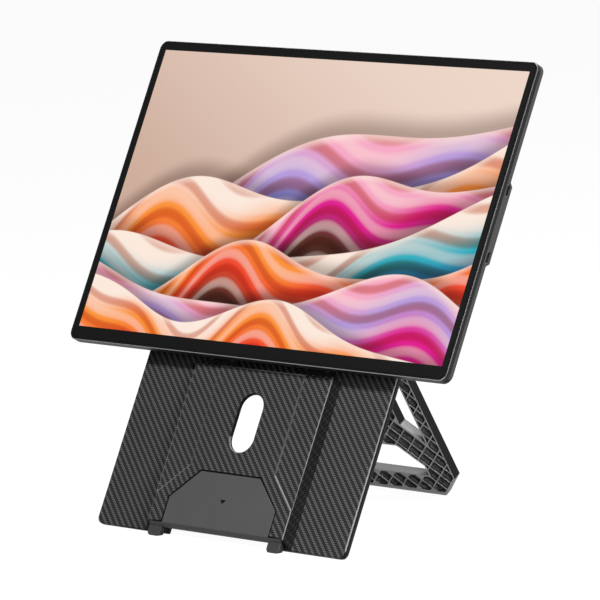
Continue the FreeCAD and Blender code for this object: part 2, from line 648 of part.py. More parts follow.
def tilt_pieces():
    base_screws = []
    leaf_screws = []
    for side, name in ((-1, "left"), (1, "right")):
        x = side * TILT_X
        middle = TILT_KNUCKLE_W / 2
        near = middle + TILT_SIDE_GAP
        far = near + TILT_LUG_W
        base = box(x - far, x + far, -TILT_FLANGE_T, 0, TILT_Z - TILT_FLANGE_DROP, TILT_Z + TILT_R)
        for x0, x1 in ((x - far, x - near), (x + near, x + far)):
            base = base.fuse(knuckle(TILT_R, x0, x1, -TILT_Y, TILT_Z))
            base = base.fuse(box(x0, x1, -TILT_Y, 0, TILT_Z - TILT_R, TILT_Z + TILT_R))
        start = V(x - far, -TILT_Y, TILT_Z)
        end = V(x + far, -TILT_Y, TILT_Z)
        base = base.cut(rod(TILT_PIN_R + PIN_PRESS, start, end))
        leaf_low = TILT_Z - LEAF_DROP
        leaf = box(x - LEAF_W / 2, x + LEAF_W / 2, BACK_Y, LEAF_BACK_Y, leaf_low, leaf_low + LEAF_H)
        leaf = leaf.fuse(knuckle(TILT_R, x - middle, x + middle, -TILT_Y, TILT_Z))
        leaf = leaf.fuse(box(x - middle, x + middle, BACK_Y, -TILT_Y, TILT_Z - TILT_R, TILT_Z + TILT_R))
        leaf = leaf.cut(rod(TILT_PIN_R + PIN_RUN, start, end))
        for screw_x in base_screw_xs(side):
            base = base.cut(screw_hole(screw_x, BASE_SCREW_Z, -TILT_FLANGE_T, 0))
            bite = TILT_FLANGE_T + PANEL_SCREW_BITE
            base_screws.append(screw(screw_x, BASE_SCREW_Z, -TILT_FLANGE_T, bite, 1))
            leaf = leaf.cut(screw_hole(screw_x, LEAF_SCREW_Z, BACK_Y, LEAF_BACK_Y))
            bite = LEAF_T + REAR_BACK_T + HINGE_PLATE_T
            leaf_screws.append(screw(screw_x, LEAF_SCREW_Z, LEAF_BACK_Y, bite, -1))
        save("tilt_base_" + name, base.removeSplitter())
        save("tilt_leaf_" + name, leaf.removeSplitter())
        save("tilt_pin_" + name, rod(TILT_PIN_R, start, end))
    save("tilt_base_screws", Part.makeCompound(base_screws))
    save("tilt_leaf_screws", Part.makeCompound(leaf_screws))


def leaf_screw_places():
    return [(x, LEAF_SCREW_Z) for side in (-1, 1) for x in base_screw_xs(side)]


def port_bar(grow, x0, x1, z):
    """Round-ended bar along x, the section of a USB-C plug."""
    radius = PORT_H / 2 + grow
    reach = PORT_LEN / 2 - PORT_H / 2
    turns = [math.pi * step / PORT_END_SIDES for step in range(PORT_END_SIDES + 1)]
    end = [(radius * math.cos(turn), reach + radius * math.sin(turn)) for turn in turns]
    outline = end + [(-y, -rise) for y, rise in end]
    return bar([(PORT_Y + y, z + rise) for y, rise in outline], x0, x1)


def back_edges(solid, y):
    """Edges of the face that lies flat at y."""
    return [edge for edge in solid.Edges if all(abs(p.Y - y) < SCREW_CLEAR for p in edge.Vertexes)]


def rear_cover():
    """Rear shell: tray with chamfered back, port block, posts, grilles, key and port openings."""
    cover = rounded(DISPLAY_W, DISPLAY_BOTTOM, DISPLAY_TOP, RIM_Y, BACK_Y, DISPLAY_CORNER_R)
    cover = cover.makeChamfer(REAR_CHAMFER, back_edges(cover, BACK_Y))
    slope_y = BACK_Y - REAR_CHAMFER
    block_half = PORT_BLOCK_H / 2
    block_back = block_half - PORT_BLOCK_SLOPE
    block = prism([V(HALF_W, slope_y, PORT_MID_Z - block_half), V(HALF_W, BACK_Y, PORT_MID_Z - block_back),
                   V(HALF_W, BACK_Y, PORT_MID_Z + block_back), V(HALF_W, slope_y, PORT_MID_Z + block_half)],
                  V(-PORT_BLOCK_W, 0, 0))
    cover = cover.fuse(block).removeSplitter()
    inner_half = HALF_W - REAR_WALL
    cover = cover.cut(box(-inner_half, inner_half, RIM_Y, INNER_BACK_Y, DISPLAY_BOTTOM + REAR_WALL,
                          DISPLAY_TOP - REAR_WALL))
    outer = rounded(DISPLAY_W, DISPLAY_BOTTOM, DISPLAY_TOP, RIM_Y, RIM_Y + GROOVE, DISPLAY_CORNER_R)
    step = rounded(DISPLAY_W - 2 * GROOVE, DISPLAY_BOTTOM + GROOVE, DISPLAY_TOP - GROOVE, RIM_Y,
                   RIM_Y + GROOVE, DISPLAY_CORNER_R - GROOVE)
    cover = cover.cut(outer.cut(step))
    boss_y = INNER_BACK_Y - BOSS_H
    for x in (BOARD_LEFT + BOSS_INSET, PORT_ROOT_X - BOSS_INSET):
        for z in (BOARD_LOW + BOSS_INSET, BOARD_HIGH - BOSS_INSET):
            cover = cover.fuse(peg(BOSS_R, V(x, boss_y, z), V(x, INNER_BACK_Y, z)))
    for x, z in cover_screw_places():
        cover = cover.fuse(peg(POST_R, V(x, RIM_Y, z), V(x, INNER_BACK_Y, z)))
        cover = cover.cut(screw_hole(x, z, RIM_Y, BACK_Y))
        cover = cover.cut(head_hole(x, z, COVER_SCREW_SEAT, BACK_Y))
    for z, _ in port_places():
        cover = cover.cut(port_bar(PORT_CLEAR, PORT_ROOT_X, HALF_W + CUT_PAST, z))
    for z, _ in key_places():
        long_half = KEY_LEN / 2 + KEY_CLEAR
        high_half = KEY_H / 2 + KEY_CLEAR
        cover = cover.cut(box(-HALF_W - CUT_PAST, -HALF_W + REAR_WALL, KEY_Y - high_half, KEY_Y + high_half,
                              z - long_half, z + long_half))
    for x, z in leaf_screw_places():
        cover = cover.cut(screw_hole(x, z, INNER_BACK_Y, BACK_Y))
    for side in (-1, 1):
        for step in range(GRILLE_HOLES):
            x = side * (SPEAKER_X + SPEAKER_W / 2) + (step - (GRILLE_HOLES - 1) / 2) * GRILLE_PITCH
            z = SPEAKER_Z + SPEAKER_H / 2
            cover = cover.cut(peg(GRILLE_R, V(x, INNER_BACK_Y, z), V(x, BACK_Y, z)))
    save("rear_cover", cover.removeSplitter())


def display_pieces():
    frame = rounded(DISPLAY_W, DISPLAY_BOTTOM, DISPLAY_TOP, FRONT_Y, RIM_Y, DISPLAY_CORNER_R)
    frame = frame.makeChamfer(FRAME_CHAMFER, back_edges(frame, FRONT_Y))
    hollow = rounded(DISPLAY_W - 2 * FRAME_WALL, DISPLAY_BOTTOM + FRAME_WALL, DISPLAY_TOP - FRAME_WALL,
                     FRONT_Y, RIM_Y, DISPLAY_CORNER_R - FRAME_WALL)
    save("display_frame", frame.cut(hollow))
    edge = FRAME_WALL + BEZEL_CLEAR
    bezel_y = FRONT_Y + BEZEL_SINK
    lcd_y = bezel_y + BEZEL_T
    bezel = rounded(DISPLAY_W - 2 * edge, DISPLAY_BOTTOM + edge, DISPLAY_TOP - edge, bezel_y, lcd_y,
                    DISPLAY_CORNER_R - edge)
    window = box(-ACTIVE_W / 2, ACTIVE_W / 2, bezel_y, lcd_y, ACTIVE_LOW, ACTIVE_HIGH)
    save("front_bezel", bezel.cut(window))
    lcd_half = ACTIVE_W / 2 + LCD_MARGIN
    save("lcd_panel", box(-lcd_half, lcd_half, lcd_y, lcd_y + LCD_T, ACTIVE_LOW - LCD_MARGIN,
                          ACTIVE_HIGH + LCD_MARGIN))
    edge = FRAME_WALL + MID_PLATE_CLEAR
    mid = rounded(DISPLAY_W - 2 * edge, DISPLAY_BOTTOM + edge, DISPLAY_TOP - edge, lcd_y + LCD_T, RIM_Y,
                  DISPLAY_CORNER_R - edge)
    screws = []
    for x, z in cover_screw_places():
        mid = mid.cut(screw_hole(x, z, RIM_Y - COVER_SCREW_BITE, RIM_Y))
        screws.append(screw(x, z, COVER_SCREW_SEAT, COVER_SCREW_SEAT - RIM_Y + COVER_SCREW_BITE, -1))
    save("mid_plate", mid)
    save("cover_screws", Part.makeCompound(screws))
    board_back = INNER_BACK_Y - BOSS_H
    board = box(BOARD_LEFT, PORT_ROOT_X, board_back - BOARD_T, board_back, BOARD_LOW, BOARD_HIGH)
    middle = (BOARD_LEFT + PORT_ROOT_X) / 2
    for step in (-1, 1):
        z = PORT_MID_Z + step * CHIP_SPAN / 2
        board = board.fuse(box(middle - CHIP_W / 2, middle + CHIP_W / 2, board_back - BOARD_T - CHIP_T,
                               board_back - BOARD_T, z - CHIP_W / 2, z + CHIP_W / 2))
    save("driver_board", board.removeSplitter())
    mouth = HALF_W - PORT_SINK
    for z, name in port_places():
        port = port_bar(0, PORT_ROOT_X, mouth, z)
        port = port.cut(port_bar(-PORT_SHELL, PORT_ROOT_X + PORT_BACK_T, mouth, z))
        port = port.fuse(box(PORT_ROOT_X, PORT_ROOT_X + TONGUE_PORT_REACH, PORT_Y - TONGUE_PORT_T / 2,
                             PORT_Y + TONGUE_PORT_T / 2, z - TONGUE_PORT_LEN / 2, z + TONGUE_PORT_LEN / 2))
        save("usb_port_" + name, port.removeSplitter())
    for side, name in ((-1, "left"), (1, "right")):
        near = side * SPEAKER_X
        end = side * (SPEAKER_X + SPEAKER_W)
        save("speaker_" + name, box(min(near, end), max(near, end), INNER_BACK_Y - SPEAKER_T, INNER_BACK_Y,
                                    SPEAKER_Z, SPEAKER_Z + SPEAKER_H))
    plate_half = TILT_X + LEAF_W / 2 + HINGE_PLATE_SPARE
    plate_piece = box(-plate_half, plate_half, INNER_BACK_Y - HINGE_PLATE_T, INNER_BACK_Y, HINGE_PLATE_LOW,
                      HINGE_PLATE_LOW + HINGE_PLATE_H)
    for x, z in leaf_screw_places():
        plate_piece = plate_piece.cut(screw_hole(x, z, INNER_BACK_Y - HINGE_PLATE_T, INNER_BACK_Y))
    save("hinge_plate", plate_piece)


def key_pieces():
    inner_wall = -HALF_W + REAR_WALL
    stem_end = inner_wall + KEY_FLANGE_T + KEY_CLEAR
    for z, name in key_places():
        cap = box(-HALF_W - KEY_PROUD, stem_end, KEY_Y - KEY_H / 2, KEY_Y + KEY_H / 2, z - KEY_LEN / 2,
                  z + KEY_LEN / 2)
        wide = KEY_LEN / 2 + KEY_FLANGE
        high = KEY_H / 2 + KEY_FLANGE / 2
        flange = box(inner_wall + KEY_CLEAR, stem_end, KEY_Y - high, KEY_Y + high, z - wide, z + wide)
        save(name + "_button", cap.fuse(flange).removeSplitter())
    board_x = stem_end + KEY_TRAVEL + KEY_BOARD_GAP
    board_half = KEY_SPAN / 2 + KEY_LEN / 2 + KEY_BOARD_MARGIN
    save("key_board", box(board_x, board_x + KEY_BOARD_T, RIM_Y + GROOVE, INNER_BACK_Y,
                          KEY_MID_Z - board_half, KEY_MID_Z + board_half))


panel_pieces()
platform_piece()
slide_pieces()
kick_pieces()
kick_hinge_pieces()
tilt_pieces()
rear_cover()
display_pieces()
key_pieces()
export_all()
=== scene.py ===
"""Laptop screen extender: finishes, softened edges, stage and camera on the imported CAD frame."""

import json
import math

import bmesh
import bpy
from bpy.props import FloatProperty, FloatVectorProperty, IntProperty, PointerProperty
from mathutils import Matrix, Quaternion, Vector


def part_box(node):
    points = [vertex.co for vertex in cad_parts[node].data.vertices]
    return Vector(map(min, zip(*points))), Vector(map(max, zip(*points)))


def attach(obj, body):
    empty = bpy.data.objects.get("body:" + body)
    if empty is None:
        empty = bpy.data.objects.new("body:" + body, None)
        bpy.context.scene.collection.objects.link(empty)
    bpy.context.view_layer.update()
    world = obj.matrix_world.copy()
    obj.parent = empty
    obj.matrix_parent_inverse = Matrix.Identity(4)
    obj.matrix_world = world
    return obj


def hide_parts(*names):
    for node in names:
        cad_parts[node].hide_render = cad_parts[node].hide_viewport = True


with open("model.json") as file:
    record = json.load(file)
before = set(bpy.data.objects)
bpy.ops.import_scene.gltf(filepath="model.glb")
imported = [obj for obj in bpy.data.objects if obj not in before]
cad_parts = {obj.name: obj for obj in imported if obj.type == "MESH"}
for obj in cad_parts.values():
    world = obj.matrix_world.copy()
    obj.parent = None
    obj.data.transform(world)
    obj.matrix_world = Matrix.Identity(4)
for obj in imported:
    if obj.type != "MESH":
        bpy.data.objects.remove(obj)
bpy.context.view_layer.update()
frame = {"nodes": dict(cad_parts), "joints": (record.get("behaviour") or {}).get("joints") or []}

bl_info = {
    "name": "Laptop Screen Extender",
    "version": (1, 0, 0),
    "blender": (4, 5, 0),
    "location": "View3D > Sidebar > Extender",
    "description": "Finishes a portable display on its leaning stand",
    "category": "Object",
}

JOINTS = {joint["name"]: joint for joint in frame["joints"]}

# The slide runs down the panel, so its axis gives the panel's lean.
PANEL_DOWN = Vector(JOINTS["slide_pull"]["axis"])
PANEL_UP = -PANEL_DOWN
LEAN = math.atan2(PANEL_UP.y, PANEL_UP.z)
PANEL_FRONT = Vector((0, -math.cos(LEAN), math.sin(LEAN)))
KICK_AXIS = Vector(JOINTS["kick_fold"]["pos_m"])
KICK_LEAN = math.radians(-JOINTS["kick_fold"]["range_deg"][0]) - LEAN
KICK_NORMAL = Vector((0, math.cos(KICK_LEAN), math.sin(KICK_LEAN)))

# Half widths of the platform, in metres, that hold the slot and the two shoulder facets.
SLOT_REACH = 0.0125
FACET_REACH = 0.042

# Angles between neighbouring faces.
LEVEL_EDGE = math.radians(0.5)
SHARP_EDGE = math.radians(28)
SHADE_LEVEL = math.radians(0.6)
STRIP_BEND = math.radians(50)
WALL_BEND = math.radians(16)

# Shares of a unit normal along a direction, from straight along it to barely so.
FACING = 0.95
NEARLY = 0.9
SIDEWAYS = 0.6
MOSTLY = 0.5
CHAMFERED = 0.3
PARTLY = 0.2
OUTWARD = 0.15
UPWARD = 0.02

# Distances in metres, then ratios.
MERGE_DISTANCE = 1e-6
TIP_DEPTH = 1e-5
HEAD_SHARE = 0.9
FLAT_RATIO = 3
SHORT_EDGE_RATIO = 1.3


def srgb(code):
    """Linear colour from a six-figure web code."""
    parts = [int(code[start:start + 2], 16) / 255 for start in (0, 2, 4)]
    linear = [part / 12.92 if part <= 0.04045 else ((part + 0.055) / 1.055) ** 2.4 for part in parts]
    return (*linear, 1.0)


def colour(name, description, code):
    """Colour property with a web-code default."""
    return FloatVectorProperty(name=name, description=description, subtype="COLOR", size=4, min=0, max=1,
                               default=srgb(code))


def length(name, description, metres):
    """Length property in metres."""
    return FloatProperty(name=name, description=description, unit="LENGTH", min=0, default=metres)


def power(name, description, watts):
    """Lamp power property in watts."""
    return FloatProperty(name=name, description=description, unit="POWER", default=watts)


def span(node, direction):
    """Lowest and highest reach of a CAD node along a direction."""
    reaches = [vertex.co.dot(direction) for vertex in frame["nodes"][node].data.vertices]
    return min(reaches), max(reaches)


class ExtenderFinish(bpy.types.PropertyGroup):
    """Sizes and colours of the finishes."""

    tow_width: length("Tow width", "Width of one woven tow in the carbon twill", 0.0015)
    warp: colour("Warp", "Light tows of the twill", "5c5c5c")
    weft: colour("Weft", "Dark tows of the twill", "303030")
    # Painted shade: the sloped sides get a darker copy of the weave in place of the shade that falls on them.
    shaded_slope_warp: colour("Slope warp", "Light tows on the platform's sloped sides", "262626")
    shaded_slope_weft: colour("Slope weft", "Dark tows on the platform's sloped sides", "1c1c1c")
    # Painted highlights: the light lines along edges and facets stand in for light caught by the rounded
    # edges.
    faint_edge_highlight: colour("Faint edge", "Fainter line along the platform's facets", "585858")
    edge: colour("Edge sheen", "Light line along moulded edges", "8c8c8c")
    # Painted shade: near black on the unlit sides of the panel and platform and in the gaps.
    side: colour("Panel side", "Unlit sides of the panel and gaps", "060606")
    bezel: colour("Bezel", "Border round the screen", "151515")
    # Painted highlight: the chamfer round the display is drawn light in place of the light it catches, dimmer
    # on the left and right.
    trim: colour("Trim", "Light chamfer round the display", "a8a8a8")
    side_chamfer_highlight: colour("Side trim", "The same chamfer along the display's left and right sides", "626262")
    case: colour("Case", "Sides and back of the display's rear cover", "3c3c3c")
    # Real dark on the frame's sides; on the rear cover's faces that look down it is painted shade.
    case_dark_and_underside_shade: colour("Case, dark", "Sides of the display's frame and its lower faces", "161616")
    plastic: colour("Plastic", "Inner mouldings and the panel's back", "202020")
    back: colour("Backs", "Back faces of the panel and the kickstand", "343434")
    # Painted light in the kickstand's lattice: highlight on the rib tops, shade at the pocket mouths, lighter
    # again deeper down.
    rib_top_highlight: colour("Rib top", "Narrow top faces of the kickstand's ribs", "d8d8d8")
    pocket_mouth_shade: colour("Pocket wall", "Walls of the kickstand's pockets near their mouths", "1a1a1a")
    deep_wall_light: colour("Pocket depth", "Walls of the kickstand's pockets near their floors", "a0a0a0")
    pit_floor_light: colour("Pocket floor", "Floors of the kickstand's pockets", "a0a0a0")
    outside: colour("Kickstand side", "Outer sides of the kickstand", "101010")
    # Painted highlight on the kickstand's up-facing window faces and slanted corners.
    ledge_highlight: colour("Ledge", "Faces of the kickstand's windows that look up, and its slanted corners", "a4a4a4")
    plate: colour("Thumb plate", "Pull-down plate and crossbar", "545454")
    rubber: colour("Feet", "Feet on the slide", "424242")
    mark: colour("Mark", "Arrow on the thumb plate", "0e0e0e")
    steel: colour("Steel", "Pins, screws and hinge leaves", "8a8a8c")
    screw: colour("Screws", "Blackened screw heads", "3a3a3c")
    hinge: colour("Hinge", "Blackened tilt hinges", "2a2a2b")
    board: colour("Circuit board", "Boards inside the display", "1d5a38")
    soft_edge: length("Edge radius", "Softening of moulded edges", 0.0003)
    line_edge: length("Line radius", "Softening of the panel's and platform's edges, seen as light lines",
                      0.00075)
    fine_edge: length("Fine edge radius", "Softening of the display's edges and the ribs", 0.00012)
    edge_steps: IntProperty(name="Edge steps", description="Segments in a softened edge", default=2, min=1,
                            max=6)


class ExtenderScreen(bpy.types.PropertyGroup):
    """Colours and light of the screen's picture."""

    ground_light: colour("Ground, light", "Pale side of the ground", "edd6c8")
    ground_dark: colour("Ground, dark", "Tan side of the ground", "c9a795")
    coral: colour("Coral", "Coral bands", "f04a2c")
    orange: colour("Orange", "Orange bands", "fb9236")
    magenta: colour("Magenta", "Magenta bands", "e01a90")
    pink: colour("Pink", "Pale pink bands", "f7a9c4")
    lavender: colour("Lavender", "Lavender bands", "b59bdc")
    blue: colour("Blue", "Blue bands", "3070d0")
    teal: colour("Teal", "Teal bands", "30aebe")
    cream: colour("Cream", "Lit crests", "fbe9dc")
    shadow: colour("Shadow", "Brown shade under a crest", "5a2f22")
    fold: colour("Fold", "Warm shade in the folds", "d07a58")
    glow: FloatProperty(name="Glow", description="Light that the screen gives off", default=1.0, min=0, max=5)


class ExtenderStage(bpy.types.PropertyGroup):
    """Camera, lamps and floor."""

    aim: FloatVectorProperty(name="Aim", description="Point that the camera looks at", subtype="TRANSLATION",
                             default=(0.0, 0.007685, 0.153994))
    distance: length("Distance", "From the aim point to the camera", 3.525893)
    heading: FloatProperty(name="Heading", description="Camera's turn round the part from straight in front",
                           subtype="ANGLE", default=math.radians(42.654))
    height: FloatProperty(name="Height", description="Camera's angle above the horizon", subtype="ANGLE",
                          default=math.radians(10.508))
    roll: FloatProperty(name="Roll", description="Camera's turn about its own axis", subtype="ANGLE",
                        default=math.radians(-3.639))
    lens: FloatProperty(name="Lens", description="Focal length in millimetres", default=299.917, min=1)
    key_power: power("Key lamp", "Power of the high front lamp", 17.0)
    low_power: power("Low lamp", "Power of the low lamp on the right", 2.6)
    side_power: power("Side lamp", "Power of the high lamp on the right", 16.0)
    ambient: FloatProperty(name="Ambient", description="Light from all round", default=0.012, min=0)
    floor: colour("Floor", "Pale floor", "909090")
    floor_glow: FloatProperty(name="Floor glow", description="Brightness of the floor as seen", default=1.9,
                              min=0)
    floor_share: FloatProperty(name="Glow share", description="Share of the floor's look that is its glow",
                               default=0.5, min=0, max=1)


class Graph:
    """Short way to wire the nodes of one material or world."""

    def __init__(self, owner, shader="Principled BSDF"):
        owner.use_nodes = True
        self.owner = owner
        self.tree = owner.node_tree
        self.shader = self.tree.nodes[shader]

    def add(self, kind, inputs=(), **settings):
        """Add a node; inputs are values or sockets, in the node's own order or by name."""
        node = self.tree.nodes.new(kind)
        for name, value in settings.items():
            setattr(node, name, value)
        pairs = inputs.items() if isinstance(inputs, dict) else enumerate(inputs)
        for key, value in pairs:
            self.feed(node.inputs[key], value)
        return node

    def feed(self, socket, value):
        """Link a socket, or set its constant."""
        if isinstance(value, bpy.types.NodeSocket):
            self.tree.links.new(value, socket)
        else:
            socket.default_value = value

    def math(self, operation, *values):
        return self.add("ShaderNodeMath", values, operation=operation).outputs[0]

    def mix(self, share, first, second, blend="MIX"):
        node = self.add("ShaderNodeMix", data_type="RGBA", blend_type=blend)
        for key, value in ((0, share), (6, first), (7, second)):
            self.feed(node.inputs[key], value)
        return node.outputs[2]

    def smooth(self, value, low, high):
        """Smooth step from 0 at low to 1 at high."""
        node = self.add("ShaderNodeMapRange", {0: value, 1: low, 2: high}, interpolation_type="SMOOTHSTEP")
        return node.outputs[0]

    def place(self, turn=0.0, centre=(0, 0, 0)):
        """Object coordinates, centred and turned about X, as three sockets."""
        coordinates = self.add("ShaderNodeTexCoord").outputs["Object"]
        shift = [-part for part in centre]
        centred = self.add("ShaderNodeMapping", {"Vector": coordinates, "Location": shift})
        turned = self.add("ShaderNodeMapping", {"Vector": centred.outputs[0], "Rotation": (turn, 0, 0)})
        parts = self.add("ShaderNodeSeparateXYZ", [turned.outputs[0]])
        return turned.outputs[0], parts.outputs[0], parts.outputs[1], parts.outputs[2]

    def noise(self, vector, scale, detail=3.0):
        inputs = {"Vector": vector, "Scale": scale, "Detail": detail}
        return self.add("ShaderNodeTexNoise", inputs).outputs["Fac"]

    def ripple(self, value, rate):
        """Row of humps from 0 to 1."""
        return self.math("ABSOLUTE", self.math("SINE", self.math("MULTIPLY", value, rate)))

    def wave(self, angle, rate):
        return self.math("SINE", self.math("MULTIPLY", angle, rate))

    def blend(self, share, most, first, second, blend="MIX"):
        """Mix by a share that reaches most at its full height."""
        return self.mix(self.math("MULTIPLY", share, most), first, second, blend)

    def tint(self, tone, level):
        """Tone times a grey level."""
        grey = self.add("ShaderNodeCombineColor", [level, level, level]).outputs[0]
        return self.mix(1.0, tone, grey, "MULTIPLY")

    def seen(self):
        """1 for rays from the camera, a mirror or clear glass, so that these see the pale background."""
        rays = self.add("ShaderNodeLightPath").outputs
        mirrored = self.math("MAXIMUM", rays["Is Camera Ray"], rays["Is Glossy Ray"])
        return self.math("MAXIMUM", mirrored, rays["Is Transmission Ray"])

    def bump(self, height, strength, distance):
        node = self.add("ShaderNodeBump", {"Height": height, "Strength": strength, "Distance": distance})
        self.feed(self.shader.inputs["Normal"], node.outputs[0])

    def finish(self, **sockets):
        """Set the shader's sockets by name, with underscores for spaces."""
        for name, value in sockets.items():
            self.feed(self.shader.inputs[name.replace("_", " ")], value)
        return self.owner


def carbon_twill(name, look, light, dark):
    """Two-by-two twill in the panel's plane, its diagonal running down to the right, with a painted highlight
    on each tow's crown.
    """
    tow_edge, crown_highlight_share, drift_share, base_level = 0.25, 0.75, 0.16, 0.42
    knot_share, knot_base, fibre_share = 0.9, 0.45, 0.3
    drift_scale, fibre_scale = 60.0, 5000.0
    repeat, warp_steps = 4, 1.5
    graph = Graph(bpy.data.materials.new(name))
    vector, x, _, z = graph.place(LEAN)
    column = graph.math("DIVIDE", x, look.tow_width)
    row = graph.math("DIVIDE", z, look.tow_width)
    column_step = graph.math("FLOOR", column)
    row_step = graph.math("FLOOR", row)
    step = graph.math("FLOORED_MODULO", graph.math("ADD", column_step, row_step), repeat)
    warp = graph.math("LESS_THAN", step, warp_steps)
    across_weft = graph.ripple(row, math.pi)
    crowns = []
    for along, across in ((graph.math("ADD", row_step, column), across_weft),
                          (graph.math("ADD", column_step, row), graph.ripple(column, math.pi))):
        rounded = graph.math("MULTIPLY_ADD", across, 1 - tow_edge, tow_edge)
        crowns.append(graph.math("MULTIPLY", graph.ripple(along, math.pi / 2), rounded))
    crown = graph.add("ShaderNodeMix", {0: warp, 2: crowns[0], 3: crowns[1]}).outputs[0]
    drift = graph.math("MULTIPLY_ADD", graph.noise(vector, drift_scale), drift_share, base_level)
    knot = graph.math("MULTIPLY_ADD", across_weft, knot_share, knot_base)
    fibre = graph.math("MULTIPLY_ADD", graph.noise(vector, scale=fibre_scale, detail=1.0), fibre_share, 1.0)
    # Painted highlight: each tow is lighter along its crown, as if its rounded top caught the light; the tone
    # also falls towards the edges of each weft row.
    level = graph.math("MULTIPLY_ADD", crown, crown_highlight_share, drift)
    level = graph.math("MULTIPLY", graph.math("MULTIPLY", level, knot), fibre)
    graph.bump(crown, strength=0.35, distance=0.00012)
    return graph.finish(Base_Color=graph.tint(graph.mix(warp, dark, light), level),
                        Roughness=graph.math("MULTIPLY_ADD", crown, -0.12, 0.6), Specular_IOR_Level=0.02)


def moulded(name, tone, rough=0.5, specular=0.2, grain=2400.0, depth=0.00002):
    """Moulded plastic with a fine spark-eroded grain and slight drift of tone."""
    graph = Graph(bpy.data.materials.new(name))
    vector, _, _, _ = graph.place()
    share, rough_share = 0.2, 0.16
    drift = graph.math("MULTIPLY_ADD", graph.noise(vector, scale=45.0), share, 1 - share)
    speck = graph.noise(vector, scale=grain, detail=2.0)
    level = graph.math("ADD", drift, graph.math("MULTIPLY", speck, share))
    graph.bump(speck, strength=0.3, distance=depth)
    roughness = graph.math("MULTIPLY_ADD", speck, rough_share, rough - rough_share / 2)
    return graph.finish(Base_Color=graph.tint(tone, level), Roughness=roughness, Specular_IOR_Level=specular)


def brushed(name, tone, rough=0.32):
    """Brushed metal with fine lines along X."""
    graph = Graph(bpy.data.materials.new(name))
    vector, _, _, _ = graph.place()
    lines = graph.add("ShaderNodeMapping", {"Vector": vector, "Scale": (60.0, 3000.0, 3000.0)})
    streak = graph.noise(lines.outputs[0], scale=1.0, detail=2.0)
    level = graph.math("MULTIPLY_ADD", streak, 0.3, 0.82)
    graph.bump(streak, strength=0.15, distance=0.00001)
    return graph.finish(Base_Color=graph.tint(tone, level), Metallic=1.0,
                        Roughness=graph.math("MULTIPLY_ADD", streak, 0.2, rough - 0.1))


def ribbed(look):
    """Kickstand plastic with painted light: a painted highlight on the ribs' tops, painted shade on the
    pocket walls just below them, and painted light again deeper down and on the pockets' floors.

    The spans are depths below the ribs' tops, in metres.
    """
    top_span, wall_span, floor_span = (0.0001, 0.0004), (0.0002, 0.0042), (0.0049, 0.0051)
    share = 0.25
    graph = Graph(bpy.data.materials.new("kickstand_plastic"))
    vector, _, depth, _ = graph.place(-KICK_LEAN, KICK_AXIS)
    low, _ = span("kickstand", KICK_NORMAL)
    rib_plane = low - KICK_AXIS.dot(KICK_NORMAL)
    below, deep, sunk = (graph.smooth(depth, rib_plane + near, rib_plane + far)
                         for near, far in (top_span, wall_span, floor_span))
    top = graph.math("SUBTRACT", 1.0, below)
    drift = graph.math("MULTIPLY_ADD", graph.noise(vector, scale=50.0), share, 1 - share)
    speck = graph.noise(vector, scale=2400.0, detail=2.0)
    level = graph.math("ADD", drift, graph.math("MULTIPLY", speck, share))
    # Painted shade near the pocket mouths, painted light deeper down and on the floors, painted highlight on
    # the rib tops.
    wall = graph.mix(deep, look.pocket_mouth_shade, look.deep_wall_light)
    tone = graph.mix(top, graph.mix(sunk, wall, look.pit_floor_light), look.rib_top_highlight)
    graph.bump(speck, strength=0.3, distance=0.00002)
    return graph.finish(Base_Color=graph.tint(tone, level),
                        Roughness=graph.math("MULTIPLY_ADD", speck, 0.16, 0.4), Specular_IOR_Level=0.3)


def soften(node, body, width, steps, finishes, choose, front_only=False):
    """Copy a CAD node, merge it and round its outer edges, all or only those of its front faces.

    choose gives the place in finishes for a face's normal, its centre and whether a rounded edge made it.
    With front_only the short edges stay sharp, because clamping to them would shrink every rounded edge.
    """
    mesh = bmesh.new()
    mesh.from_mesh(frame["nodes"][node].data)
    bmesh.ops.remove_doubles(mesh, verts=mesh.verts, dist=MERGE_DISTANCE)
    bmesh.ops.dissolve_limit(mesh, angle_limit=LEVEL_EDGE, verts=mesh.verts, edges=mesh.edges)
    mesh.normal_update()
    edges = [line for line in mesh.edges
             if line.is_manifold and line.is_convex and line.calc_face_angle(0) > SHARP_EDGE]
    if front_only:
        edges = [line for line in edges if line.calc_length() > width * SHORT_EDGE_RATIO
                 and any(face.normal.dot(PANEL_FRONT) > FACING for face in line.link_faces)]
    done = bmesh.ops.bevel(mesh, geom=edges, offset=width, offset_type="OFFSET", segments=steps, profile=0.5,
                           affect="EDGES", clamp_overlap=not front_only, material=-1)
    strips = set(done["faces"])
    mesh.normal_update()
    for face in mesh.faces:
        face.material_index = choose(face.normal, face.calc_center_median(), face in strips)
    shade(mesh, strips)
    bmesh.ops.triangulate(mesh, faces=[face for face in mesh.faces if len(face.verts) > 4])
    finish_piece(mesh, node + "_soft", body, finishes, node)


def shade(mesh, strips):
    """Smooth rounded edges and curved walls, and leave flat the faces much larger than those beside them."""
    for face in mesh.faces:
        bend = STRIP_BEND if face in strips else WALL_BEND
        beside = [other for line in face.edges
                  if line.is_manifold and SHADE_LEVEL < line.calc_face_angle(0) < bend
                  for other in line.link_faces if other is not face]
        face.smooth = any(face.calc_area() < other.calc_area() * FLAT_RATIO
                          and (other in strips) == (face in strips) for other in beside)


def finish_piece(mesh, name, body, materials, node):
    """Turn a bmesh into an object that rides on a body and stands for its CAD node."""
    data = bpy.data.meshes.new(name)
    mesh.to_mesh(data)
    mesh.free()
    for material in materials:
        data.materials.append(material)
    piece = bpy.data.objects.new(name, data)
    bpy.context.scene.collection.objects.link(piece)
    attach(piece, body)
    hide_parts(node)


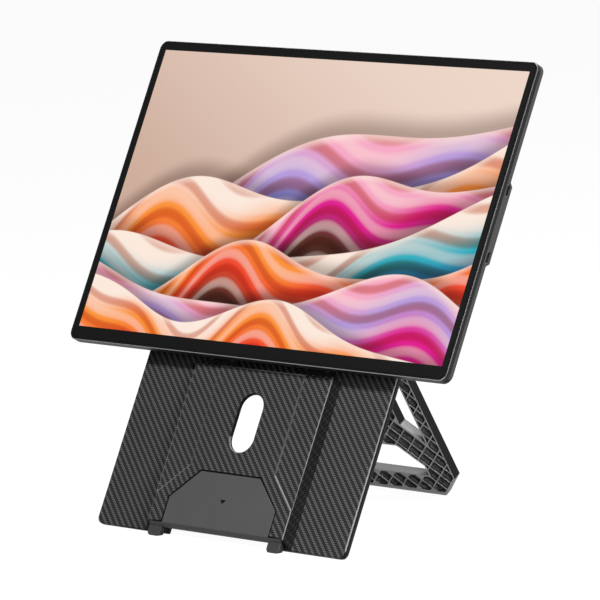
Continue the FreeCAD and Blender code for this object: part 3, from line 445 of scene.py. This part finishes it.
def islands(node):
    """Separate solids of a CAD node, each as the list of its corner points."""
    mesh = bmesh.new()
    mesh.from_mesh(frame["nodes"][node].data)
    bmesh.ops.remove_doubles(mesh, verts=mesh.verts, dist=MERGE_DISTANCE)
    left = set(mesh.verts)
    groups = []
    while left:
        found = {left.pop()}
        waiting = list(found)
        while waiting:
            vertex = waiting.pop()
            near = {line.other_vert(vertex) for line in vertex.link_edges} - found
            found |= near
            waiting.extend(near)
        left -= found
        groups.append([vertex.co.copy() for vertex in found])
    mesh.free()
    return groups


def star_screws(node, body, outward, material):
    """Screws with a domed head and a six-lobed recess, in place of a node's plain ones."""
    mesh = bmesh.new()
    for points in islands(node):
        middle = sum(points, Vector()) / len(points)
        reaches = [(point - middle).dot(outward) for point in points]
        widths = [((point - middle) - outward * reach).length for point, reach in zip(points, reaches)]
        head_radius = max(widths)
        seat = min(reach for reach, width in zip(reaches, widths) if width > head_radius * HEAD_SHARE)
        shank_radius = max(width for reach, width in zip(reaches, widths) if reach < min(reaches) + TIP_DEPTH)
        made = star_screw(mesh, head_radius, max(reaches) - seat, shank_radius, seat - min(reaches))
        turn = outward.to_track_quat("Z", "Y").to_matrix().to_4x4()
        bmesh.ops.transform(mesh, matrix=Matrix.Translation(middle + outward * seat) @ turn, verts=made)
    bmesh.ops.recalc_face_normals(mesh, faces=mesh.faces)
    finish_piece(mesh, node + "_star", body, [material], node)


def star_screw(mesh, head_radius, head_height, shank_radius, shank_length):
    """One screw standing on its seat at the origin; returns its vertices."""
    before = set(mesh.verts)
    facets, lobes = 24, 6
    rim_share, dome_share, lobe_share, waist_share, sink_share = 0.82, 0.6, 0.5, 0.34, 0.6
    rings = []
    for radius, height in ((shank_radius, -shank_length), (shank_radius, 0), (head_radius, 0),
                           (head_radius, head_height * dome_share), (head_radius * rim_share, head_height)):
        made = bmesh.ops.create_circle(mesh, segments=facets, radius=radius,
                                       matrix=Matrix.Translation((0, 0, height)))
        rings.append(made["verts"])
    for height in (head_height, head_height * (1 - sink_share)):
        made = bmesh.ops.create_circle(mesh, segments=facets, radius=head_radius * lobe_share,
                                       matrix=Matrix.Translation((0, 0, height)))
        for place, vertex in enumerate(made["verts"]):
            swing = 0.5 - 0.5 * math.cos(math.tau * lobes * place / facets)
            share = 1 - (1 - waist_share / lobe_share) * swing
            vertex.co.x *= share
            vertex.co.y *= share
        rings.append(made["verts"])
    loops = [list({line for vertex in ring for line in vertex.link_edges}) for ring in rings]
    for lower, upper in zip(loops, loops[1:]):
        bmesh.ops.bridge_loops(mesh, edges=lower + upper)
    for end in (loops[0], loops[-1]):
        bmesh.ops.edgeloop_fill(mesh, edges=end)
    return [vertex for vertex in mesh.verts if vertex not in before]


def paint(material, *nodes):
    """Give CAD nodes a finish."""
    for node in nodes:
        slots = frame["nodes"][node].data.materials
        slots.clear()
        slots.append(material)


class EXTENDER_OT_stand(bpy.types.Operator):
    """Finish the leaning panel and its raised platform"""

    bl_idname = "extender.stand"
    bl_label = "Stand Panel and Platform"

    def execute(self, context):
        look = context.scene.extender_finish
        twill = carbon_twill("carbon_twill", look, look.warp, look.weft)
        # Painted highlight on the rounded outer edges.
        edge = moulded("panel_edge", look.edge, rough=0.4, specular=0.3)
        # Near black as painted shade on the sides, slot walls and steps.
        side = moulded("panel_side", look.side, rough=0.5, specular=0.08)
        rim = moulded("panel_back_plastic", look.plastic, rough=0.5, specular=0.12)
        back = moulded("panel_back_face", look.back, rough=0.5, specular=0.2)
        # Darker copy of the weave for the sloped sides, as painted shade.
        bevel = carbon_twill("carbon_bevel", look, look.shaded_slope_warp, look.shaded_slope_weft)
        # Fainter painted highlight on the facet lines.
        faint = moulded("facet_edge", look.faint_edge_highlight, rough=0.45, specular=0.15)
        soften("panel_front", "stand", look.line_edge, look.edge_steps, [twill, edge, side], self.panel_face,
               front_only=True)
        soften("panel_back", "stand", look.soft_edge, look.edge_steps, [rim, back],
               lambda normal, centre, strip: int(normal.dot(PANEL_FRONT) < -NEARLY))
        soften("platform_shell", "stand", look.line_edge, look.edge_steps, [twill, edge, side, bevel, faint],
               self.platform_face, front_only=True)
        return {"FINISHED"}

    @staticmethod
    def panel_face(normal, centre, strip):
        """Weave on the front, a painted highlight line on its outer edges, and sides near black as painted
        shade.
        """
        ahead = normal.dot(PANEL_FRONT)
        if ahead > FACING:
            return 0
        return 1 if strip and ahead > PARTLY and normal.x * centre.x > 0 else 2

    @staticmethod
    def platform_face(normal, centre, strip):
        """As the panel, with painted shade on the sloped sides, fainter painted highlights on the facet lines
        and a painted highlight on the slot's lower rim.
        """
        ahead = normal.dot(PANEL_FRONT)
        outward = math.copysign(normal.x, normal.x * centre.x)
        if ahead > FACING:
            return 0
        if abs(centre.x) < SLOT_REACH:
            # Painted highlight on the slot's rim strips that look up; the slot's other walls get painted
            # shade.
            return 1 if strip and ahead > PARTLY and normal.dot(PANEL_UP) > UPWARD else 2
        if not strip:
            # Sloped sides take the darker weave as painted shade.
            return 3 if outward > MOSTLY else 2
        if outward <= OUTWARD or ahead <= PARTLY:
            return 2
        return 4 if abs(centre.x) < FACET_REACH else 1


class EXTENDER_OT_slide(bpy.types.Operator):
    """Finish the pull-down slide with its arrow and feet"""

    bl_idname = "extender.slide"
    bl_label = "Pull-down Slide"

    def execute(self, context):
        look = context.scene.extender_finish
        plate = moulded("thumb_plate", look.plate, rough=0.5, specular=0.15)
        # Painted shade in the gaps round the plate.
        gap = moulded("slide_gap", look.side, rough=0.6, specular=0.05)
        rubber = moulded("foot_rubber", look.rubber, rough=0.6, specular=0.12)
        # The feet's rounded front edges get the plate's grey as a painted highlight.
        lip_highlight = moulded("foot_edge", look.plate, rough=0.5, specular=0.2)
        _, front = span("slide_plate", PANEL_FRONT)

        def plate_face(normal, centre, strip):
            """Plate and crossbar in view; the tongue and the gap round the plate get painted shade."""
            looks_down = normal.dot(PANEL_UP) < -PARTLY
            near_front = centre.dot(PANEL_FRONT) > front - look.soft_edge * 2
            return 0 if looks_down or (near_front and normal.dot(PANEL_FRONT) > PARTLY) else 1

        soften("slide_plate", "slide", look.soft_edge, look.edge_steps, [plate, gap], plate_face)
        for side in ("left", "right"):
            soften("foot_pad_" + side, "slide", look.soft_edge, look.edge_steps, [rubber, lip_highlight],
                   lambda normal, centre, strip: int(strip and normal.dot(PANEL_FRONT) > PARTLY))
        paint(moulded("arrow_ink", look.mark, rough=0.6, specular=0.05), "arrow_mark")
        paint(rubber, "slide_friction_pads")
        return {"FINISHED"}


class EXTENDER_OT_display(bpy.types.Operator):
    """Finish the display's frame, bezel and rear cover"""

    bl_idname = "extender.display"
    bl_label = "Display Case"

    def execute(self, context):
        look = context.scene.extender_finish
        case = moulded("display_case", look.case, rough=0.42, specular=0.25)
        dark = moulded("display_case_dark", look.case_dark_and_underside_shade, rough=0.42, specular=0.15)
        # Painted highlight on the chamfer, and a dimmer one along its left and right runs.
        trim = moulded("display_trim", look.trim, rough=0.35, specular=0.4)
        side_chamfer_highlight = moulded("display_trim_side", look.side_chamfer_highlight, rough=0.4, specular=0.2)
        bezel = moulded("bezel_black", look.bezel, rough=0.35, specular=0.03, grain=3200.0, depth=0.000008)

        def frame_face(normal, centre, strip):
            """Black front, a painted highlight on the chamfer round it, dimmer on the left and right, and
            dark sides.
            """
            ahead = normal.dot(PANEL_FRONT)
            if ahead > NEARLY:
                return 0
            if ahead <= CHAMFERED or strip:
                return 2
            return 3 if abs(normal.x) > SIDEWAYS else 1

        soften("display_frame", "display", look.fine_edge, 1, [bezel, trim, dark, side_chamfer_highlight], frame_face)
        # Rear cover faces that look down take the dark case colour as painted shade.
        soften("rear_cover", "display", look.soft_edge, look.edge_steps, [case, dark],
               lambda normal, centre, strip: int(normal.dot(PANEL_UP) < -MOSTLY and not strip))
        paint(bezel, "front_bezel")
        inner = moulded("inner_plastic", look.plastic)
        paint(inner, "speaker_left", "speaker_right")
        paint(brushed("inner_aluminium", look.steel), "mid_plate", "hinge_plate")
        paint(moulded("circuit_board", look.board, rough=0.45, specular=0.4), "driver_board", "key_board")
        return {"FINISHED"}


class EXTENDER_OT_screen(bpy.types.Operator):
    """Light the screen with a generic layered-wave picture"""

    bl_idname = "extender.screen"
    bl_label = "Lit Screen"

    # Back to front: crest height, slope, swell, waves across, phase and depth of the band, all as
    # shares of the screen's width, then the colours below the crest.
    wave_shares = (
        (0.075, 0.30, 0.050, 0.9, 0.20, 0.20, ("pink", "lavender", "blue")),
        (0.030, 0.22, 0.060, 1.1, 0.55, 0.17, ("cream", "orange", "coral")),
        (-0.030, 0.26, 0.050, 1.3, 0.05, 0.15, ("pink", "magenta", "shadow")),
        (-0.085, 0.16, 0.055, 1.0, 0.70, 0.16, ("cream", "teal", "blue")),
        (-0.140, 0.10, 0.050, 1.4, 0.35, 0.14, ("orange", "coral", "shadow")),
        (-0.195, 0.02, 0.045, 1.2, 0.90, 0.14, ("pink", "lavender", "magenta")),
        (-0.250, -0.08, 0.035, 1.5, 0.15, 0.12, ("cream", "orange", "coral")),
    )

    # Turns of the crest's curl, of the folds in a band and of the silk's bend, for one turn of the crest.
    curl_rate, fold_rate, bend_rate = 1.7, 2.3, 1.3

    # Shares of a band's swell or depth.
    curl_share, fold_share, first_share, third_share = 0.35, 0.22, 0.5, 0.45
    shade_depth, rim_depth = 0.3, 0.12

    # How much of each shade is mixed in.
    shade_mix, shine_mix, fold_mix, rim_mix = 0.5, 0.32, 0.65, 0.6

    silk_turns, bend_size, crest_blur = 14.0, 3.0, 0.0025
    shine_span, fold_span = (0.1, 1.0), (-0.2, -1.0)

    # The ground's change up the screen, its change across and its level at the middle.
    ground_rise, ground_run, ground_level = 0.9, 0.55, 0.45
    glass = (0.004, 0.004, 0.004, 1)

    def execute(self, context):
        paint(self.picture(context.scene.extender_screen), "lcd_panel")
        return {"FINISHED"}

    def picture(self, tint):
        """Layered waves over a peach ground, drawn across the screen's own width."""
        graph = Graph(bpy.data.materials.new("screen_picture"))
        low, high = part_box("lcd_panel")
        width = high.x - low.x
        _, x, _, z = graph.place(LEAN, (low + high) / 2)
        across = graph.math("DIVIDE", x, width)
        up = graph.math("DIVIDE", z, width)
        ground_share = graph.math("MULTIPLY_ADD", across, self.ground_run, self.ground_level)
        ground_share = graph.math("MULTIPLY_ADD", up, self.ground_rise, ground_share)
        picture = graph.mix(graph.smooth(ground_share, 0.0, 1.0), tint.ground_dark, tint.ground_light)
        for crest, slope, swell, waves, phase, depth, names in self.wave_shares:
            angle = graph.math("MULTIPLY_ADD", across, waves * math.tau, phase * math.tau)
            curl = graph.math("MULTIPLY", graph.wave(angle, self.curl_rate), swell * self.curl_share)
            line = graph.math("MULTIPLY_ADD", graph.math("SINE", angle), swell, curl)
            line = graph.math("ADD", line, graph.math("MULTIPLY_ADD", across, slope, crest))
            below = graph.math("SUBTRACT", line, up)
            shade = graph.smooth(below, -depth * self.shade_depth, 0.0)
            picture = graph.blend(shade, self.shade_mix, picture, tint.shadow, "MULTIPLY")
            fold = graph.wave(angle, self.fold_rate)
            inside = graph.math("MULTIPLY_ADD", fold, depth * self.fold_share, below)
            first, second, third = (getattr(tint, name) for name in names)
            band = graph.mix(graph.smooth(inside, 0.0, depth * self.first_share), first, second)
            band = graph.mix(graph.smooth(inside, depth * self.third_share, depth), band, third)
            bend = graph.math("MULTIPLY", graph.wave(angle, self.bend_rate), self.bend_size)
            silk = graph.math("SINE", graph.math("MULTIPLY_ADD", inside, self.silk_turns / depth, bend))
            band = graph.blend(graph.smooth(silk, *self.shine_span), self.shine_mix, band, tint.cream)
            dip = graph.smooth(silk, *self.fold_span)
            band = graph.blend(dip, self.fold_mix, band, tint.fold, "MULTIPLY")
            rim = graph.math("SUBTRACT", 1.0, graph.smooth(below, 0.0, depth * self.rim_depth))
            band = graph.blend(rim, self.rim_mix, band, tint.cream)
            picture = graph.mix(graph.smooth(below, 0.0, self.crest_blur), picture, band)
        return graph.finish(Base_Color=self.glass, Roughness=0.25, Specular_IOR_Level=0.02,
                            Emission_Color=picture, Emission_Strength=tint.glow)


class EXTENDER_OT_kickstand(bpy.types.Operator):
    """Finish the ribbed kickstand"""

    bl_idname = "extender.kickstand"
    bl_label = "Kickstand"

    def execute(self, context):
        look = context.scene.extender_finish
        outside = moulded("kickstand_outside", look.outside, rough=0.45, specular=0.12)
        ledge_highlight = moulded("kickstand_ledge", look.ledge_highlight, rough=0.5, specular=0.2)
        back = moulded("kickstand_back", look.back, rough=0.5, specular=0.2)

        def kick_face(normal, centre, strip):
            """Lattice inside, plain back, dark sides, and a painted highlight on the slanted corners and on
            window faces that look up.
            """
            behind = normal.dot(KICK_NORMAL)
            if behind < -MOSTLY or (centre - KICK_AXIS).dot(KICK_NORMAL) < -look.soft_edge:
                return 0
            if behind > NEARLY:
                return 3
            # Up-facing window faces and slanted corners take the ledge colour as a painted highlight.
            corner = normal.z < -CHAMFERED and abs(normal.x) > CHAMFERED
            return 2 if behind < MOSTLY and (normal.z > CHAMFERED or corner) else 1

        soften("kickstand", "kickstand", look.fine_edge, 1, [ribbed(look), outside, ledge_highlight, back], kick_face)
        return {"FINISHED"}


class EXTENDER_OT_fittings(bpy.types.Operator):
    """Finish hinges, pins, screws, ports and keys"""

    bl_idname = "extender.fittings"
    bl_label = "Hinges, Screws, Ports and Keys"

    def execute(self, context):
        look = context.scene.extender_finish
        steel = brushed("fitting_steel", look.steel)
        paint(steel, "kick_pin_left", "kick_pin_right", "tilt_pin_left", "tilt_pin_right", "slide_stop_pins",
              "usb_port_upper", "usb_port_lower")
        paint(brushed("hinge_steel", look.hinge, rough=0.45),
              "tilt_base_left", "tilt_base_right", "tilt_leaf_left", "tilt_leaf_right")
        blackened = brushed("screw_steel", look.screw, rough=0.4)
        for node, body, outward in (("panel_screws", "stand", -PANEL_FRONT),
                                    ("kick_hinge_screws", "stand", -PANEL_FRONT),
                                    ("tilt_base_screws", "stand", PANEL_FRONT),
                                    ("tilt_leaf_screws", "display", -PANEL_FRONT),
                                    ("cover_screws", "display", -PANEL_FRONT)):
            star_screws(node, body, outward, blackened)
        lug = moulded("hinge_lug", look.plastic)
        paint(lug, "kick_hinge_left", "kick_hinge_right")
        paint(moulded("key_plastic", look.case, rough=0.45, specular=0.3), "power_button", "menu_button")
        return {"FINISHED"}


class EXTENDER_OT_stage(bpy.types.Operator):
    """Set the floor, lamps and camera"""

    bl_idname = "extender.stage"
    bl_label = "Stage"

    # Each lamp's offset from the aim point and its width, in metres.
    lamps = {
        "key": ((-0.45, -1.2, 1.2), 0.22),
        "low": ((0.65, -0.3, 0.15), 0.25),
        "side": ((1.1, 0.35, 0.9), 0.5),
    }
    floor_reach, clip_end = 12.0, 50.0
    white = (1, 1, 1, 1)

    def execute(self, context):
        stage = context.scene.extender_stage
        self.floor(stage)
        self.world(context.scene, stage)
        aim = Vector(stage.aim)
        for name, (offset, size) in self.lamps.items():
            self.lamp(name + "_lamp", aim, Vector(offset), size, getattr(stage, name + "_power"))
        self.camera(context.scene, stage, aim)
        context.scene.view_settings.view_transform = "Standard"
        return {"FINISHED"}

    def floor(self, stage):
        mesh = bmesh.new()
        bmesh.ops.create_grid(mesh, x_segments=1, y_segments=1, size=self.floor_reach)
        data = bpy.data.meshes.new("floor")
        mesh.to_mesh(data)
        mesh.free()
        graph = Graph(bpy.data.materials.new("floor_pale"))
        share = graph.math("MULTIPLY", graph.seen(), stage.floor_share)
        glow = graph.add("ShaderNodeEmission", {"Color": self.white, "Strength": stage.floor_glow})
        blend = graph.add("ShaderNodeMixShader", [share, graph.shader.outputs[0], glow.outputs[0]])
        graph.feed(graph.tree.nodes["Material Output"].inputs["Surface"], blend.outputs[0])
        data.materials.append(graph.finish(Base_Color=stage.floor, Roughness=0.9, Specular_IOR_Level=0.0))
        floor = bpy.data.objects.new("floor", data)
        bpy.context.scene.collection.objects.link(floor)

    def world(self, scene, stage):
        graph = Graph(bpy.data.worlds.new("studio"), "Background")
        level = graph.add("ShaderNodeMapRange",
                          {"Value": graph.seen(), "To Min": stage.ambient, "To Max": 1.0})
        scene.world = graph.finish(Color=self.white, Strength=level.outputs[0])

    def lamp(self, name, aim, offset, size, power):
        data = bpy.data.lights.new(name, "AREA")
        data.shape = "DISK"
        data.size = size
        data.energy = power
        lamp = bpy.data.objects.new(name, data)
        lamp.location = aim + offset
        lamp.rotation_euler = (-offset).to_track_quat("-Z", "Y").to_euler()
        lamp.visible_camera = False
        bpy.context.scene.collection.objects.link(lamp)

    def camera(self, scene, stage, aim):
        data = bpy.data.cameras.new("photo_camera")
        data.lens = stage.lens
        data.clip_end = self.clip_end
        camera = bpy.data.objects.new("photo_camera", data)
        flat = math.cos(stage.height)
        away = Vector((flat * math.sin(stage.heading), -flat * math.cos(stage.heading),
                       math.sin(stage.height)))
        turn = (-away).to_track_quat("-Z", "Y") @ Quaternion((0, 0, 1), stage.roll)
        camera.location = aim + away * stage.distance
        camera.rotation_euler = turn.to_euler()
        scene.collection.objects.link(camera)
        scene.camera = camera


class EXTENDER_PT_sidebar(bpy.types.Panel):
    """Lists the pieces of the screen extender"""

    bl_label = "Screen Extender"
    bl_idname = "EXTENDER_PT_sidebar"
    bl_space_type = "VIEW_3D"
    bl_region_type = "UI"
    bl_category = "Extender"

    def draw(self, context):
        for operator in OPERATORS:
            self.layout.operator(operator.bl_idname)
        for group in GROUPS:
            settings = getattr(context.scene, group)
            box = self.layout.box()
            for name in settings.__annotations__:
                box.prop(settings, name)


GROUPS = {
    "extender_finish": ExtenderFinish,
    "extender_screen": ExtenderScreen,
    "extender_stage": ExtenderStage,
}
OPERATORS = (EXTENDER_OT_stand, EXTENDER_OT_slide, EXTENDER_OT_display, EXTENDER_OT_screen,
             EXTENDER_OT_kickstand, EXTENDER_OT_fittings, EXTENDER_OT_stage)


def register():
    for kind in (*GROUPS.values(), *OPERATORS, EXTENDER_PT_sidebar):
        bpy.utils.register_class(kind)
    for name, group in GROUPS.items():
        setattr(bpy.types.Scene, name, PointerProperty(type=group))


def unregister():
    for name in GROUPS:
        delattr(bpy.types.Scene, name)
    for kind in reversed((*GROUPS.values(), *OPERATORS, EXTENDER_PT_sidebar)):
        bpy.utils.unregister_class(kind)


def main():
    """Register the add-on and build every piece, then set the stage."""
    register()
    bpy.ops.extender.stand()
    bpy.ops.extender.slide()
    bpy.ops.extender.display()
    bpy.ops.extender.screen()
    bpy.ops.extender.kickstand()
    bpy.ops.extender.fittings()
    bpy.ops.extender.stage()


if __name__ == "__main__":
    main()
